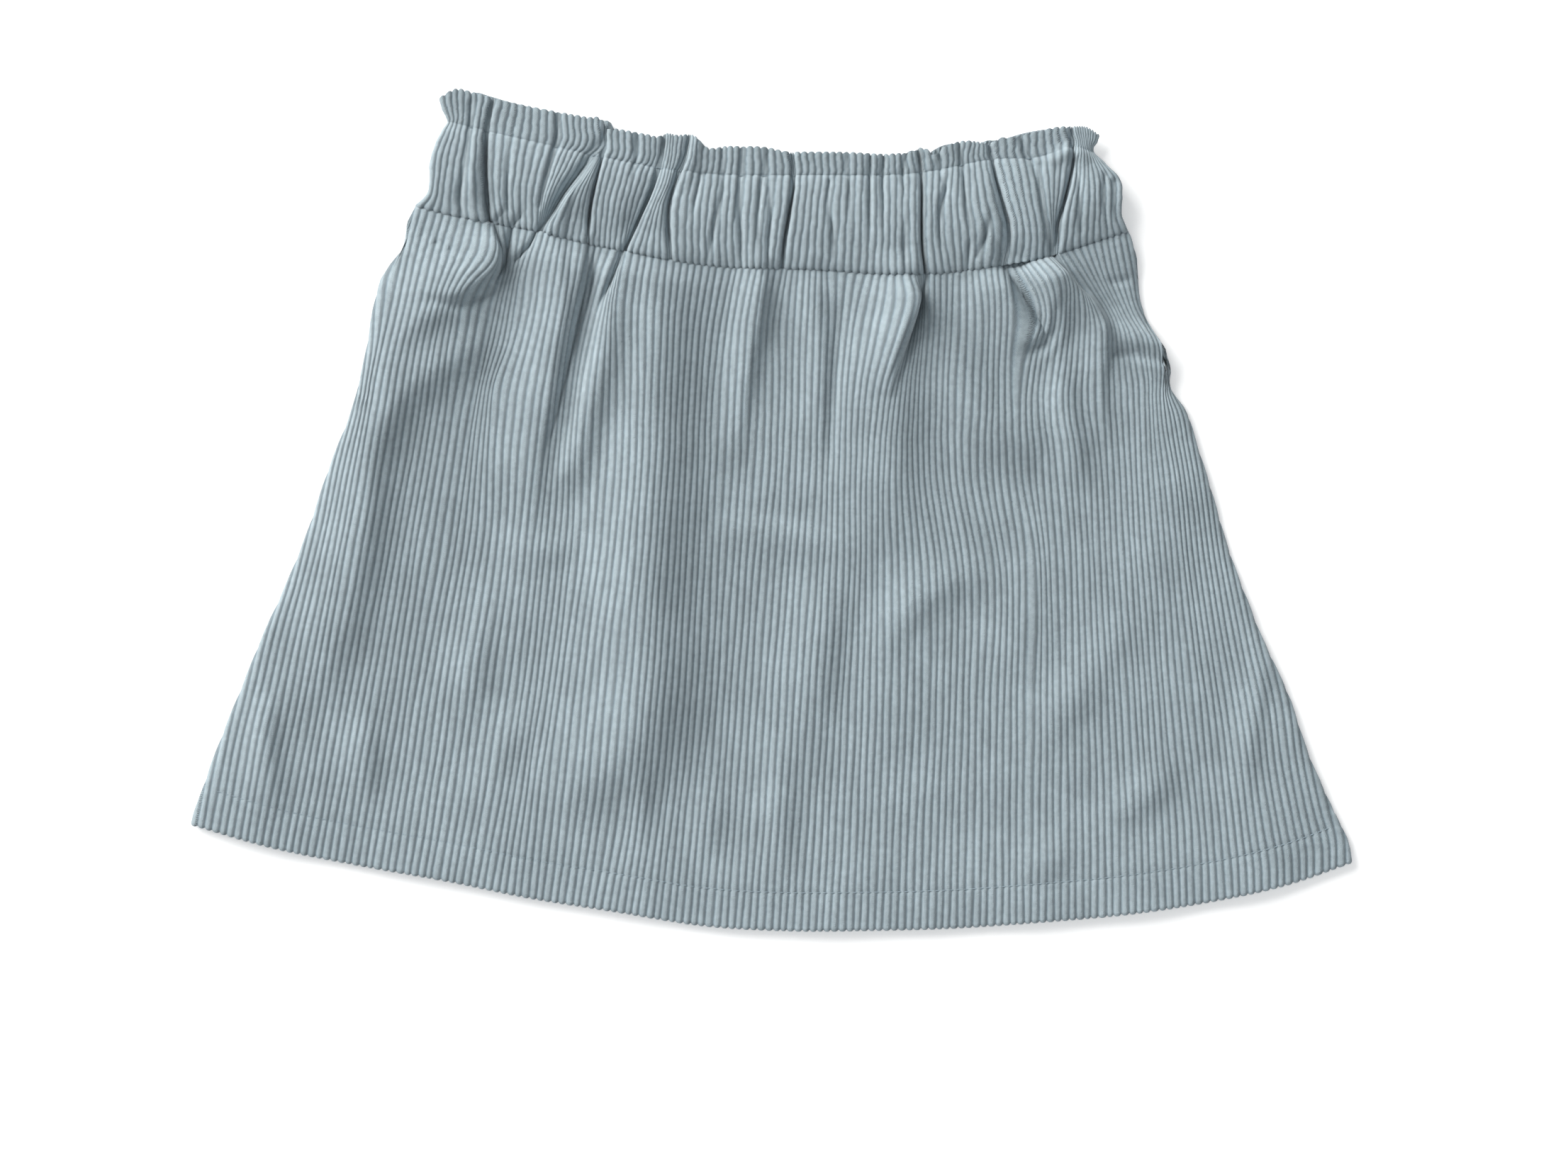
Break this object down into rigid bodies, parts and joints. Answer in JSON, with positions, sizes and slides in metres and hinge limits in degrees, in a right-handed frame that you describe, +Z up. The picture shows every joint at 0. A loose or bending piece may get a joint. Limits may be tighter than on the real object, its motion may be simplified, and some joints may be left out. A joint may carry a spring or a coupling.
{
  "type": "corduroy skirt",
  "caption": "Girl's pull-on corduroy skirt laid flat, front up, with an elasticated, frilled waistband and a plain stitched hem.",
  "frame": {"origin": "on the surface that the skirt lies on, under the middle of its bounding box", "axes": "+X across the skirt to the picture's right, +Y from the hem towards the waist, +Z up, out of the front"},
  "size_m": [0.4434, 0.3156, 0.0147],
  "materials": {
    "corduroy": "wide-wale cotton corduroy, dusty light blue, soft matt pile",
    "waistband_corduroy": "the same corduroy, folded double and gathered"
  },
  "bodies": {
    "root": {"front_panel": "corduroy", "back_panel": "corduroy", "front_waistband": "waistband_corduroy", "back_waistband": "waistband_corduroy"}
  },
  "joints": []
}
